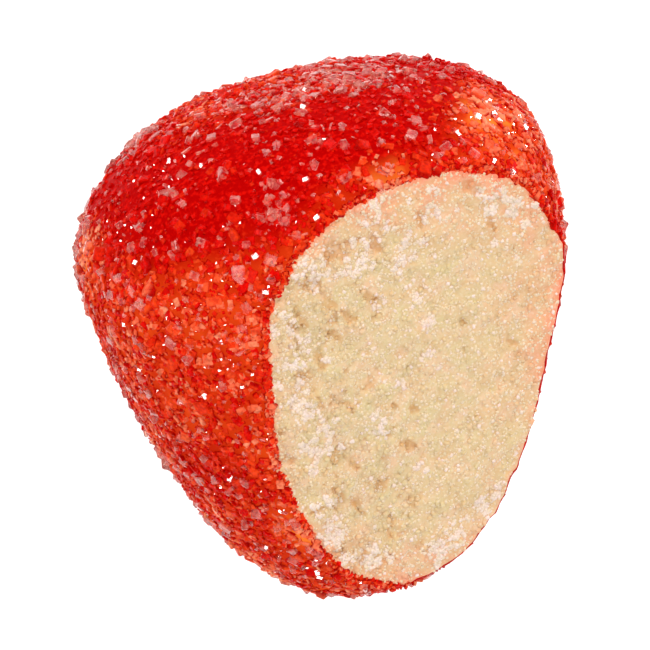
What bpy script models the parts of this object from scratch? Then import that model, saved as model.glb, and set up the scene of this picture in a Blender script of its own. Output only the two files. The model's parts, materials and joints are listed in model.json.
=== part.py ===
"""Marzipan strawberry in a crust of red sugar, with a slice taken off one side.

The sweet lies on its back, as it rests on a table: +Z is up, +Y runs towards the crown (the stem end), and the
origin is on the flat resting face. The crown is raised and the tip is lowered, as on any cone that lies on its side.

Two pieces are built: the marzipan, which runs right through the sweet and shows at the slice, and the crust of
coloured sugar round it, with its largest crystals standing proud.
"""

import math
import random

import bmesh
import bpy
from mathutils import Euler, Matrix, Vector, noise

MM = 0.001

# The smooth strawberry under its crystals: round in section, blunt at the crown and drawn out to the tip.
HALF_WIDTH = 15.9 * MM
HALF_DEPTH = 14.7 * MM
CROWN_LENGTH = 11.3 * MM
TIP_LENGTH = 23.8 * MM
CROWN_POWER = 2.45
FLANK_POWER = 1.3
TIP_POWER = 0.43
CROWN_SHIFT = 2.4 * MM

# How it lies: the centre of its widest ring, and the angles of its axis.
CENTRE = Vector((0.36 * MM, 5.2 * MM, 14.1 * MM))
CROWN_RAISED = math.radians(17.8)
CROWN_TURNED = math.radians(8.2)

# The unevenness of a fruit shaped by hand.
LUMP_HEIGHT = 0.35 * MM
LUMP_WAVELENGTH = 9.0 * MM
SKIN_SEGMENTS = 13

# The sugar crust.
CRUST_THICKNESS = 0.5 * MM
PASTE_GAP = 0.3 * MM
CRUST_RELIEF = 0.2 * MM
CRUST_RELIEF_WAVELENGTH = 2.1 * MM

# Its largest crystals: oblong blocks that lie about flat, half sunk into the crust.
CRYSTAL_SIZE = (0.85 * MM, 1.3 * MM)
CRYSTAL_BREADTH = (0.7, 0.95)
CRYSTAL_THICKNESS = (0.5, 0.65)
CRYSTAL_TILT = math.radians(35)
CRYSTAL_PROUD = 0.2 * MM
CRYSTAL_SPACING = 2.4 * MM
CRYSTAL_TRIES = 3000
CRYSTAL_FLOOR_CLEARANCE = 0.9 * MM
CRYSTAL_CUT_CLEARANCE = 0.8 * MM
SEED = 7

# The slice's plane: its slopes towards the right and the crown, and its height where it passes over the origin.
SLICE_FALL_RIGHT = 0.635
SLICE_RISE_TO_CROWN = 0.583
SLICE_HEIGHT = 25.5 * MM
SLICE_MARGIN = 21.0 * MM
SLICE_DEPTH = 16.0 * MM

# The cut face's crumb, as height and wavelength of a coarse and a fine relief.
CRUMB_SPACING = 1.0 * MM
CRUMB_COARSE = (0.22 * MM, 4.0 * MM)
CRUMB_FINE = (0.20 * MM, 1.7 * MM)

MARZIPAN_COLOUR = (0.80, 0.59, 0.36)
CRUST_COLOUR = (0.72, 0.045, 0.02)
SMOOTH_UNDER = math.radians(35)


def clear_scene():
    for obj in list(bpy.data.objects):
        bpy.data.objects.remove(obj, do_unlink=True)


def new_collection(name):
    collection = bpy.data.collections.new(name)
    bpy.context.scene.collection.children.link(collection)
    return collection


def principled(name, colour, roughness):
    material = bpy.data.materials.new(name)
    material.use_nodes = True
    shader = material.node_tree.nodes["Principled BSDF"]
    shader.inputs["Base Color"].default_value = (*colour, 1.0)
    shader.inputs["Roughness"].default_value = roughness
    shader.inputs["Metallic"].default_value = 0.0
    return material


def mesh_of(bm, name):
    mesh = bpy.data.meshes.new(name)
    bm.to_mesh(mesh)
    return mesh


def add_object(name, mesh, collection):
    obj = bpy.data.objects.new(name, mesh)
    collection.objects.link(obj)
    return obj


def as_cutter(obj):
    obj.hide_render = True
    obj.display_type = "WIRE"


def apply_modifiers(obj):
    bpy.context.view_layer.update()
    graph = bpy.context.evaluated_depsgraph_get()
    mesh = bpy.data.meshes.new_from_object(obj.evaluated_get(graph))
    obj.modifiers.clear()
    obj.data = mesh


def boolean(obj, operation, other):
    """Adds and applies a Boolean with another object or with all the objects of a collection."""
    modifier = obj.modifiers.new(operation.lower(), "BOOLEAN")
    modifier.operation = operation
    modifier.solver = "EXACT"
    if isinstance(other, bpy.types.Collection):
        modifier.operand_type = "COLLECTION"
        modifier.collection = other
    else:
        modifier.object = other
    apply_modifiers(obj)


def finish_surface(obj, material):
    """Gives a finished piece its one material, and soft shading between its sharp edges."""
    obj.data.materials.clear()
    obj.data.materials.append(material)
    obj.data.shade_smooth()
    obj.data.set_sharp_from_angle(angle=SMOOTH_UNDER)


def body_to_world():
    """Tilts the strawberry's own frame (crown along +Y) to how the sweet lies."""
    turn = Matrix.Rotation(CROWN_TURNED, 4, "Z")
    raise_crown = Matrix.Rotation(CROWN_RAISED, 4, "X")
    return Matrix.Translation(CENTRE) @ turn @ raise_crown


def girth(along):
    """The ring radius as a share of the widest one; along is 1 at the crown, 0 at the widest ring, -1 at the tip."""
    if along > 0:
        return (1 - min(along, 1) ** CROWN_POWER) ** (1 / CROWN_POWER)
    return (1 - min(-along, 1) ** FLANK_POWER) ** TIP_POWER


def strawberry_point(direction):
    """The point of the smooth strawberry, in its own frame, that a direction from its centre stands for."""
    ring = math.hypot(direction.x, direction.z)
    share = girth(direction.y) / ring if ring > 0 else 0.0
    reach = CROWN_LENGTH if direction.y > 0 else TIP_LENGTH
    lean = CROWN_SHIFT * max(direction.y, 0.0) ** 2
    return Vector(
        (
            direction.x * share * HALF_WIDTH + lean,
            direction.y * reach,
            direction.z * share * HALF_DEPTH,
        )
    )


def skin_bmesh():
    """The outside of the sweet before the slice: an evenly divided cube, rounded, lumpy and flat where it rests."""
    bm = bmesh.new()
    bmesh.ops.create_cube(bm, size=2.0)
    bmesh.ops.subdivide_edges(
        bm, edges=bm.edges, cuts=SKIN_SEGMENTS - 1, use_grid_fill=True
    )
    place = body_to_world()
    for vert in bm.verts:
        even = Vector([math.tan(c * math.pi / 4) for c in vert.co])
        vert.co = place @ strawberry_point(even.normalized())
    bm.normal_update()
    for vert in bm.verts:
        lump = noise.noise(vert.co / LUMP_WAVELENGTH)
        vert.co += vert.normal * lump * LUMP_HEIGHT
    for vert in bm.verts:
        vert.co.z = max(vert.co.z, 0.0)
    bm.normal_update()
    return bm


def rough_mesh(skin, name):
    """A copy of the skin with the crust's unevenness, which only stands outwards and leaves the floor flat."""
    crust = skin.copy()
    for vert, smooth in zip(crust.verts, skin.verts):
        height = 0.5 + 0.5 * noise.noise(smooth.co / CRUST_RELIEF_WAVELENGTH)
        vert.co += smooth.normal * height * CRUST_RELIEF
        vert.co.z = max(vert.co.z, 0.0)
    mesh = mesh_of(crust, name)
    crust.free()
    return mesh


def inset_mesh(skin, depth, name):
    """A copy of the skin moved inwards by depth, for the marzipan under its crust."""
    inner = skin.copy()
    for vert, outer in zip(inner.verts, skin.verts):
        vert.co -= outer.normal * depth
        vert.co.z = max(vert.co.z, depth)
    mesh = mesh_of(inner, name)
    inner.free()
    return mesh


def slice_normal():
    return Vector((SLICE_FALL_RIGHT, -SLICE_RISE_TO_CROWN, 1.0)).normalized()


def slice_point():
    """The point of the slice's plane that lies straight over the origin."""
    return Vector((0.0, 0.0, SLICE_HEIGHT))


def above_slice(point):
    """How far a point lies on the side that was cut away."""
    return (point - slice_point()).dot(slice_normal())


def crumb_height(place):
    """The relief of torn marzipan, so that the cut face has bumps and pits and isn't glassy flat."""
    total = 0.0
    for height, wavelength in (CRUMB_COARSE, CRUMB_FINE):
        total += height * noise.noise(place / wavelength)
    return total


def build_knife(collection):
    """The block that takes the slice away: a grid with the crumb's relief, made thick upwards."""
    turn = slice_normal().to_track_quat("Z", "Y").to_matrix().to_4x4()
    bm = bmesh.new()
    cells = round(2 * SLICE_MARGIN / CRUMB_SPACING)
    bmesh.ops.create_grid(bm, x_segments=cells, y_segments=cells, size=SLICE_MARGIN)
    for vert in bm.verts:
        vert.co.z += crumb_height(vert.co)
    top = bmesh.ops.extrude_face_region(bm, geom=bm.faces)["geom"]
    for vert in [g for g in top if isinstance(g, bmesh.types.BMVert)]:
        vert.co.z = SLICE_DEPTH
    place = Matrix.Translation(slice_point()) @ turn
    bmesh.ops.transform(bm, matrix=place, verts=bm.verts)
    bmesh.ops.recalc_face_normals(bm, faces=bm.faces)
    knife = add_object("slice_knife", mesh_of(bm, "slice_knife"), collection)
    bm.free()
    as_cutter(knife)
    return knife


def crystal_places(skin, draw):
    """Random points all over the skin by its area, each with the surface's normal, none close to another."""
    faces = list(skin.faces)
    areas = [face.calc_area() for face in faces]
    places = []
    for face in draw.choices(faces, areas, k=CRYSTAL_TRIES):
        shares = [draw.random() for _ in face.verts]
        point = Vector()
        for vert, share in zip(face.verts, shares):
            point += vert.co * share / sum(shares)
        if point.z < CRYSTAL_FLOOR_CLEARANCE:
            continue
        if above_slice(point) > -CRYSTAL_CUT_CLEARANCE:
            continue
        if all((point - other).length > CRYSTAL_SPACING for other, _ in places):
            places.append((point, face.normal.copy()))
    return places


def build_crystal(name, place, normal, draw, collection):
    """One sugar crystal, turned and tilted at random."""
    size = draw.uniform(*CRYSTAL_SIZE)
    breadth = size * draw.uniform(*CRYSTAL_BREADTH)
    thickness = size * draw.uniform(*CRYSTAL_THICKNESS)
    bm = bmesh.new()
    bmesh.ops.create_cube(bm, size=1.0)
    bmesh.ops.scale(bm, vec=(size, breadth, thickness), verts=bm.verts)
    obj = add_object(name, mesh_of(bm, name), collection)
    bm.free()
    tilt = Euler(
        (
            draw.uniform(-CRYSTAL_TILT, CRYSTAL_TILT),
            draw.uniform(-CRYSTAL_TILT, CRYSTAL_TILT),
            draw.uniform(0, math.tau),
        )
    )
    obj.rotation_mode = "QUATERNION"
    obj.rotation_quaternion = normal.to_track_quat("Z", "Y") @ tilt.to_quaternion()
    obj.location = place + normal * CRYSTAL_PROUD
    as_cutter(obj)


def scatter_crystals(skin, collection):
    """Sets the largest crystals over the crust, clear of the resting face and of the slice."""
    draw = random.Random(SEED)
    for i, (place, normal) in enumerate(crystal_places(skin, draw)):
        build_crystal(f"crystal_{i:03d}", place, normal, draw, collection)


def build_marzipan(skin, knife, collection):
    mesh = inset_mesh(skin, CRUST_THICKNESS + PASTE_GAP, "marzipan")
    paste = add_object("marzipan", mesh, collection)
    boolean(paste, "DIFFERENCE", knife)
    finish_surface(paste, principled("marzipan paste", MARZIPAN_COLOUR, 0.7))
    return paste


def build_sugar_coat(skin, knife, collection, crystals):
    coat = add_object("sugar_coat", rough_mesh(skin, "sugar_coat"), collection)
    shell = coat.modifiers.new("crust", "SOLIDIFY")
    shell.thickness = CRUST_THICKNESS
    shell.offset = -1.0
    shell.use_even_offset = True
    apply_modifiers(coat)
    boolean(coat, "UNION", crystals)
    for obj in list(crystals.objects):
        bpy.data.objects.remove(obj, do_unlink=True)
    bpy.data.collections.remove(crystals)
    boolean(coat, "DIFFERENCE", knife)
    finish_surface(coat, principled("red sugar crust", CRUST_COLOUR, 0.35))
    return coat


def main():
    clear_scene()
    sweet = new_collection("Marzipan strawberry")
    cutters = new_collection("Cutters")
    crystals = new_collection("Crystals")
    rest = bpy.data.objects.new("rest", None)
    sweet.objects.link(rest)
    skin = skin_bmesh()
    knife = build_knife(cutters)
    scatter_crystals(skin, crystals)
    paste = build_marzipan(skin, knife, sweet)
    coat = build_sugar_coat(skin, knife, sweet, crystals)
    for piece in (paste, coat):
        piece.parent = rest
    skin.free()


main()
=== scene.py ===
# %% [markdown]
# # A marzipan strawberry in red sugar
#
# The sweet is a lump of almond paste, rolled by hand into a strawberry, painted with red syrup and turned
# in granulated sugar. A slice has been taken off one side, so the pale paste shows. It lies on its back on
# a white table, and the camera looks straight down on it.
#
# What the eye reads first is sugar: thousands of clear crystals, each a small slanted box, on a red that
# changes from deep and wet to orange. A texture can't give their sparkle or the rough outline, so the
# crystals here are real meshes. The paste is matt and grainy, so it is a relief with a soft, slightly
# translucent material.

# %% Load the frame
import json
import math
import bmesh
import bpy
import numpy as np
from mathutils import Matrix, Vector, noise
from mathutils.bvhtree import BVHTree

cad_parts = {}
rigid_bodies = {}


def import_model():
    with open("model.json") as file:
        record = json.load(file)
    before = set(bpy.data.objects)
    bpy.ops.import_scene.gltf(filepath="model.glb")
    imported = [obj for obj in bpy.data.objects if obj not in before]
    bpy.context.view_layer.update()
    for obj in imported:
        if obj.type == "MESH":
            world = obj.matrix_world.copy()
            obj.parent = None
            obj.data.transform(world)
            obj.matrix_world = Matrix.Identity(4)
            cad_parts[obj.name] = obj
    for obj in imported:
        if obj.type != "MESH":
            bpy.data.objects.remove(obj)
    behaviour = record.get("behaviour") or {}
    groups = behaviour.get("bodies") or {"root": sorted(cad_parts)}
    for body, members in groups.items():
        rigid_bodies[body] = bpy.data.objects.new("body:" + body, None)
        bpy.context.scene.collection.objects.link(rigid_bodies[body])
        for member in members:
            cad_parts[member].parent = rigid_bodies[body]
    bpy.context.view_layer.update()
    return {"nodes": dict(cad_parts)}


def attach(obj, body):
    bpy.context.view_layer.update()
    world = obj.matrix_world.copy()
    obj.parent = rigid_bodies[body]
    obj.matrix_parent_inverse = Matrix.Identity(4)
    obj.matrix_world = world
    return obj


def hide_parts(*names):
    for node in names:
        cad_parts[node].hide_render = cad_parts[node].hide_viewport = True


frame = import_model()
MM = 0.001

print("nodes:", sorted(frame["nodes"]))

# %% [markdown]
# ## The form of the sweet
#
# A strawberry could be sculpted, but a formula is easier to keep in step with the solid that it dresses.
# Its girth runs along one axis: blunt at the crown and drawn out to the tip. A direction from the centre
# picks a point on it, so an evenly divided cube, blown up to a ball, gives a skin whose quads are all about
# one size. The numbers are the solid's own, so the skin lands on it without any fitting.

# %% The strawberry's sizes
HALF_WIDTH = 15.9 * MM
HALF_DEPTH = 14.7 * MM
CROWN_LENGTH = 11.3 * MM
TIP_LENGTH = 23.8 * MM
CROWN_POWER = 2.45  # 2 would make the crown a half ball, and more makes it blunter
FLANK_POWER = 1.3  # more keeps the flanks full further towards the tip
TIP_POWER = 0.43  # 0.5 would make a round tip, and less makes it blunter
CROWN_SHIFT = 2.4 * MM
CENTRE = Vector((0.36 * MM, 5.2 * MM, 14.1 * MM))
CROWN_RAISED = math.radians(17.8)
CROWN_TURNED = math.radians(8.2)
LUMP_HEIGHT = 0.35 * MM
LUMP_WAVELENGTH = 9.0 * MM

lie = Matrix.Rotation(CROWN_TURNED, 4, "Z") @ Matrix.Rotation(CROWN_RAISED, 4, "X")
body_to_world = np.array(Matrix.Translation(CENTRE) @ lie)
print("length along its axis, mm:", round((CROWN_LENGTH + TIP_LENGTH) / MM, 1))


# %% Arrays in and out of meshes
def transformed(points, matrix):
    """Points moved by a 4 by 4 matrix."""
    return points @ matrix[:3, :3].T + matrix[:3, 3]


def mesh_points(mesh):
    """The vertices of a mesh as an array with one row for each."""
    points = np.empty(len(mesh.vertices) * 3)
    mesh.vertices.foreach_get("co", points)
    return points.reshape(-1, 3)


def mesh_normals(mesh):
    """The normal at each vertex, one row for each."""
    normals = np.empty(len(mesh.vertices) * 3)
    mesh.vertex_normals.foreach_get("vector", normals)
    return normals.reshape(-1, 3)


def move_points(mesh, points):
    """Puts the vertices of a mesh at new places."""
    mesh.vertices.foreach_set("co", points.ravel())
    mesh.update()


def along_normals(mesh, heights, floor=0.0):
    """Moves each vertex along its normal, by its own height, and never below the floor."""
    points = mesh_points(mesh) + mesh_normals(mesh) * np.reshape(heights, (-1, 1))
    points[:, 2] = np.maximum(points[:, 2], floor)
    move_points(mesh, points)


def write_values(mesh, name, values):
    """Keeps one number for each vertex in the mesh, where a material can read it."""
    mesh.attributes.new(name, "FLOAT", "POINT").data.foreach_set("value", values)


def built_mesh(name, bm):
    """The mesh of a form that was built in bmesh."""
    mesh = bpy.data.meshes.new(name)
    bm.to_mesh(mesh)
    bm.free()
    return mesh


# %% Noise and soft steps
def noise_at(points, wavelength, shift=0.0):
    """Smooth noise, about -1 to 1, at each point, with bumps about one wavelength apart."""
    return np.array([noise.noise(place) for place in (points / wavelength + shift).tolist()])


def waves(points, rows):
    """The sum of several noises. Each row gives the height of one, its wavelength, and a shift that picks its
    own part of the noise."""
    return sum(height * noise_at(points, wavelength, shift) for height, wavelength, shift in rows)


def soft_step(values, low, high):
    """0 below low, 1 above high, and a smooth rise between them."""
    share = np.clip((values - low) / (high - low), 0, 1)
    return share * share * (3 - 2 * share)


print("a soft step at its start, middle and end:", soft_step(np.array([0.0, 0.5, 1.0]), 0.0, 1.0).tolist())


# %% Skin of the whole sweet
def girth(along):
    """The ring radius as a share of the widest one; along is 1 at the crown and -1 at the tip."""
    crown = (1 - np.clip(along, 0, 1) ** CROWN_POWER) ** (1 / CROWN_POWER)
    flank = (1 - np.clip(-along, 0, 1) ** FLANK_POWER) ** TIP_POWER
    return np.where(along > 0, crown, flank)


def strawberry_points(directions):
    """Points of the smooth strawberry, in the world, for unit directions from its centre."""
    x, y, z = directions.T
    share = girth(y) / np.maximum(np.hypot(x, z), 1e-9)
    reach = np.where(y > 0, CROWN_LENGTH, TIP_LENGTH)
    lean = CROWN_SHIFT * np.maximum(y, 0) ** 2
    local = (x * share * HALF_WIDTH + lean, y * reach, z * share * HALF_DEPTH)
    return transformed(np.stack(local, axis=1), body_to_world)


def skin_mesh(name, cells):
    """The outside of the sweet before the slice, with this many quads along each edge of its cube."""
    bm = bmesh.new()
    bmesh.ops.create_cube(bm, size=2.0)
    bmesh.ops.subdivide_edges(bm, edges=bm.edges, cuts=cells - 1, use_grid_fill=True)
    mesh = built_mesh(name, bm)
    even = np.tan(mesh_points(mesh) * math.pi / 4)  # evens out the quads of the blown up cube
    even /= np.linalg.norm(even, axis=1, keepdims=True)
    move_points(mesh, strawberry_points(even))
    along_normals(mesh, noise_at(mesh_points(mesh), LUMP_WAVELENGTH) * LUMP_HEIGHT)
    return mesh


# %% Depth under the skin
SMOOTH_CELLS = 48

smooth_skin = skin_mesh("smooth_skin", SMOOTH_CELLS)
skin_tree = BVHTree.FromPolygons(
    mesh_points(smooth_skin).tolist(), [tuple(face.vertices) for face in smooth_skin.polygons]
)


def depth_under_skin(points):
    """How deep each point lies under the sweet's skin; below zero is outside."""
    depths = []
    for place in points.tolist():
        spot, normal, _, _ = skin_tree.find_nearest(place)
        depths.append((spot - Vector(place)).dot(normal))
    return np.array(depths)


corners = mesh_points(smooth_skin).min(axis=0), mesh_points(smooth_skin).max(axis=0)
print("smooth skin, mm:", [np.round(corner / MM, 2).tolist() for corner in corners])

# %% [markdown]
# ## The slice
#
# One straight cut took the slice off. It could be drawn on each mesh, but a knife is simpler: one plane, in
# a frame of its own, that every piece is measured against. Its slope is the solid's: it falls to the right
# and rises to the crown.

# %% The knife's plane
SLICE_FALL_RIGHT = 0.635
SLICE_RISE_TO_CROWN = 0.583
SLICE_HEIGHT = 25.5 * MM
SLICE_DEPTH = 16.0 * MM
CUT_MARGIN = 1.5 * MM

slice_normal = Vector((SLICE_FALL_RIGHT, -SLICE_RISE_TO_CROWN, 1.0)).normalized()
slice_turn = slice_normal.to_track_quat("Z", "Y").to_matrix().to_4x4()
slice_to_world = np.array(Matrix.Translation((0, 0, SLICE_HEIGHT)) @ slice_turn)
world_to_slice = np.linalg.inv(slice_to_world)

over_knife = transformed(mesh_points(smooth_skin), world_to_slice)
cut_points = over_knife[over_knife[:, 2] > 0]
cut_low = cut_points[:, :2].min(axis=0) - CUT_MARGIN
cut_high = cut_points[:, :2].max(axis=0) + CUT_MARGIN
print("the cut, in the knife's frame, mm:", np.round(cut_low / MM, 1), np.round(cut_high / MM, 1))


def height_over_slice(points):
    """How far each point stands over the knife's plane; below zero is inside the sweet."""
    return transformed(points, world_to_slice)[:, 2]


# %% [markdown]
# ## Where the blade went in and came out
#
# The blade went in on the left and tore the paste most there. On the right it came out, rubbed the sugar
# off the skin and pressed the soft paste over the rim. These two places could be painted by hand on every
# piece. As numbers from 0 to 1, worked out for any point, they serve the paste, the crust and the scattered
# sugar alike.

# %% Torn side and rubbed rim
ROUGH_SIDE = ((-1.4, 4.6), (-2.3, 1.5), (-1.4, -4.0), (0.3, -9.0), (1.4, -14.0))  # seen from above, mm
ROUGH_REACH = (1.5 * MM, 8.0 * MM)
RUBBED_BELOW_KNIFE = (-1.6 * MM, -0.5 * MM)
RUBBED_RIGHT_OF = (3.0 * MM, 7.0 * MM)
RUBBED_UP_TO = (4.5 * MM, 8.0 * MM)


def distance_to_path(points, path):
    """The distance in plan from each point to a path of corners in millimetres."""
    nearest = np.full(len(points), np.inf)
    for start, end in zip(path, path[1:]):
        start, end = np.array(start) * MM, np.array(end) * MM
        run = end - start
        share = np.clip((points[:, :2] - start) @ run / (run @ run), 0, 1)
        foot = start + share[:, None] * run
        nearest = np.minimum(nearest, np.hypot(*(points[:, :2] - foot).T))
    return nearest


def roughness_of_cut(points):
    """1 along the left edge of the cut, where the blade went in and tore most, and 0 well away from it."""
    return 1 - soft_step(distance_to_path(points, ROUGH_SIDE), *ROUGH_REACH)


def rubbed_share(points):
    """1 on the skin along the right rim of the slice, where the blade came out and rubbed the crust off."""
    x, y, _ = points.T
    by_rim = soft_step(height_over_slice(points), *RUBBED_BELOW_KNIFE)
    return by_rim * soft_step(x, *RUBBED_RIGHT_OF) * (1 - soft_step(y, *RUBBED_UP_TO))


across_cut = np.array([(-2.0, 0.0, 0.0), (6.0, 0.0, 0.0), (12.0, 0.0, 0.0)]) * MM
print("torn at the left, middle and right of the cut:", np.round(roughness_of_cut(across_cut), 2))

# %% [markdown]
# ## Relief of the torn face
#
# Marzipan doesn't cut glassy smooth: the blade drags the ground almonds along and leaves bumps, pits and
# fine grain. Noise in a bump map could fake it, but the rim and the low light would give it away. So the
# knife itself is rough: a fine grid with the relief on it, made thick upwards, which a Boolean takes away
# from paste and crust alike. The broad waves are those of the solid. The finer ones, down to the size of
# ground almond, are added to them.

# %% Waves, pits and tears
CRUMB_WAVES = (  # height and wavelength
    (0.22 * MM, 4.0 * MM),
    (0.20 * MM, 1.7 * MM),
    (0.10 * MM, 0.80 * MM),
    (0.07 * MM, 0.42 * MM),
    (0.045 * MM, 0.24 * MM),
)
PITS = (  # from, to and half width of each stroke, seen from above, mm
    ((0.5, 2.1), (0.9, 1.4), 0.50),
    ((-1.1, 0.7), (-0.8, 0.1), 0.38),
    ((1.0, -0.5), (1.5, -0.9), 0.38),
    ((0.2, -1.9), (0.4, -2.6), 0.35),
    ((1.1, 5.1), (1.6, 4.6), 0.48),
    ((3.5, 1.9), (4.1, 1.7), 0.35),
    ((1.8, 0.8), (2.4, 0.5), 0.30),
    ((3.6, 5.6), (3.9, 4.9), 0.38),
    ((6.6, 7.2), (6.8, 6.5), 0.38),
    ((9.7, 9.1), (10.3, 8.8), 0.36),
    ((11.2, 6.9), (11.6, 6.2), 0.34),
    ((9.6, 0.3), (9.9, 0.2), 0.25),
    ((12.7, -1.0), (13.1, -1.1), 0.30),
    ((5.0, -5.1), (5.2, -5.2), 0.26),
    ((6.3, -5.3), (6.6, -5.4), 0.26),
    ((6.0, -7.8), (6.3, -7.9), 0.30),
    ((-0.2, -4.2), (0.4, -5.0), 0.34),
    ((2.3, -8.9), (2.5, -9.1), 0.30),
    ((2.5, -11.6), (2.7, -11.8), 0.28),
)
PIT_DEPTH = 0.20 * MM
PIT_EDGE = (0.2, 1.25)  # where its rim starts and ends, as shares of its half width
PIT_RAG = ((0.26 * MM, 1.0 * MM, 7.3), (0.32 * MM, 0.45 * MM, 7.3))  # height, wavelength and shift
TEAR_DEPTH = 0.24 * MM
TEAR_WAVELENGTH = 1.3 * MM
TEAR_CLOUD = ((1.0, TEAR_WAVELENGTH, 7.3), (0.5, TEAR_WAVELENGTH / 3, 3.9))
TEAR_STARTS = 0.22
TEAR_SOFTNESS = 0.35
TEAR_ON_SMOOTH_SIDE = 0.2


def pit_share(points):
    """1 in the pits that show most, with ragged rims, 0 outside them."""
    rag = waves(points, PIT_RAG)
    share = np.zeros(len(points))
    for start, end, reach in PITS:
        away = distance_to_path(points, (start, end)) + rag
        share = np.maximum(share, 1 - soft_step(away, PIT_EDGE[0] * reach * MM, PIT_EDGE[1] * reach * MM))
    return share


def tear_share(points):
    """1 in the shallow tears that the blade left between the pits; they lie closest on the rough side."""
    torn = soft_step(waves(points, TEAR_CLOUD), TEAR_STARTS, TEAR_STARTS + TEAR_SOFTNESS)
    return torn * (TEAR_ON_SMOOTH_SIDE + (1 - TEAR_ON_SMOOTH_SIDE) * roughness_of_cut(points))


def crumb_height(flat):
    """The relief at points of the cut, given in the knife's frame at height 0."""
    world = transformed(flat, slice_to_world)
    height = -PIT_DEPTH * pit_share(world) - TEAR_DEPTH * tear_share(world)
    for size, wavelength in CRUMB_WAVES:
        height += size * noise_at(flat, wavelength)
    return height


print(len(PITS), "pits, and waves down to", round(CRUMB_WAVES[-1][1] / MM, 2), "mm")


# %% Pieces of the scene
def new_piece(name, data):
    """An object for a mesh, a light or a camera, in the scene."""
    piece = bpy.data.objects.new(name, data)
    bpy.context.scene.collection.objects.link(piece)
    return piece


def dress(piece, material):
    """Gives a piece its one material."""
    piece.data.materials.clear()
    piece.data.materials.append(material)


def discard(*objects):
    """Removes tools that have done their work."""
    for obj in objects:
        bpy.data.objects.remove(obj, do_unlink=True)


def triangle_count(piece):
    """How many triangles the faces of a piece make."""
    return sum(len(face.vertices) - 2 for face in piece.data.polygons)


# %% Knife and Boolean
CUT_SPACING = 0.112 * MM


def grid_mesh(name, low, high, spacing):
    """A flat grid of quads, in the knife's frame."""
    cells = np.ceil((high - low) / spacing).astype(int)
    bm = bmesh.new()
    bmesh.ops.create_grid(bm, x_segments=cells[0], y_segments=cells[1], size=1)
    mesh = built_mesh(name, bm)
    flat = mesh_points(mesh)
    flat[:, :2] = (low + high) / 2 + flat[:, :2] * (high - low) / 2
    move_points(mesh, flat)
    return mesh


def knife(name, sunk=0.0):
    """A block over the slice with the relief on its underside; sunk lets it cut that much deeper."""
    mesh = grid_mesh(name, cut_low, cut_high, CUT_SPACING)
    flat = mesh_points(mesh)
    flat[:, 2] = crumb_height(flat) - sunk
    move_points(mesh, flat)
    bm = bmesh.new()
    bm.from_mesh(mesh)
    top = bmesh.ops.extrude_face_region(bm, geom=bm.faces)["geom"]
    for vert in [part for part in top if isinstance(part, bmesh.types.BMVert)]:
        vert.co.z = SLICE_DEPTH
    bmesh.ops.recalc_face_normals(bm, faces=bm.faces)
    bm.to_mesh(mesh)
    bm.free()
    move_points(mesh, transformed(mesh_points(mesh), slice_to_world))
    return new_piece(name, mesh)


def take_away(piece, other):
    """Takes one closed mesh out of another. MANIFOLD is quick on fine meshes, if they are closed."""
    modifier = piece.modifiers.new("taken away", "BOOLEAN")
    modifier.operation = "DIFFERENCE"
    modifier.solver = "MANIFOLD"
    modifier.object = other
    bpy.context.view_layer.update()
    graph = bpy.context.evaluated_depsgraph_get()
    mesh = bpy.data.meshes.new_from_object(piece.evaluated_get(graph))
    piece.modifiers.clear()
    piece.data = mesh


# %% [markdown]
# ## Almond paste
#
# The paste is one soft lump under the crust. On the right the blade squeezed it out over the rim, as a
# scalloped lip half a millimetre thick. The lip could be a strip laid on the rim, but it has no seam with
# the paste. So the paste's own skin swells there before the knife takes the slice away.

# %% Lump of almond paste
PASTE_CELLS = 60
PASTE_DEPTH = 0.10 * MM
LIP_HEIGHT = 0.50 * MM
LIP_SCALLOPS = ((0.16 * MM, 1.7 * MM, 6.6), (0.14 * MM, 0.8 * MM, 6.6))  # height, wavelength and shift


def lip_height(points):
    """How far the blade squeezed the paste out over the skin along the right rim, in soft scallops."""
    return rubbed_share(points) * (LIP_HEIGHT + waves(points, LIP_SCALLOPS))


def depth_in_paste(points):
    """How deep each point lies under the paste's own surface; below zero is in the crust or outside."""
    return depth_under_skin(points) - PASTE_DEPTH + lip_height(points)


almond_paste = new_piece("almond_paste", skin_mesh("almond_paste", PASTE_CELLS))
along_normals(almond_paste.data, lip_height(mesh_points(almond_paste.data)) - PASTE_DEPTH, PASTE_DEPTH)
fine_knife = knife("fine_knife")
take_away(almond_paste, fine_knife)
discard(fine_knife)
almond_paste.data.shade_smooth()
print("almond paste:", triangle_count(almond_paste), "triangles")

# %% [markdown]
# ## Syrup crust
#
# The syrup dried to a skin of a few tenths of a millimetre, wavy from the brush. A Solidify modifier could
# thicken the paste's skin, but the crust has to end at the slice in a clean step. So it is built like the
# solid: the whole outer skin, less a hollow, less the knife. The hollow is a little smaller than the paste,
# so no gap opens between them, and this knife cuts a hair deeper, so the crust's rim never covers the
# paste.

# %% Skin of dried syrup
CRUST_CELLS = 92
CRUST_WAVES = ((0.10 * MM, 2.1 * MM), (0.06 * MM, 0.9 * MM), (0.05 * MM, 0.5 * MM))  # height, wavelength
RUBBED_CRUST = -0.04 * MM
CRUST_OVERLAP = 0.06 * MM
RIM_SUNK = 0.05 * MM
SHARP_EDGE = math.radians(60)

syrup_crust = new_piece("syrup_crust", skin_mesh("syrup_crust", CRUST_CELLS))
places = mesh_points(syrup_crust.data)
relief = np.zeros(len(places))
for size, wavelength in CRUST_WAVES:
    relief += size * (0.5 + noise_at(places, wavelength))
rubbed = rubbed_share(places)
along_normals(syrup_crust.data, relief * (1 - rubbed) + RUBBED_CRUST * rubbed + lip_height(places))
outer_skin = syrup_crust.data.copy()

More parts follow.
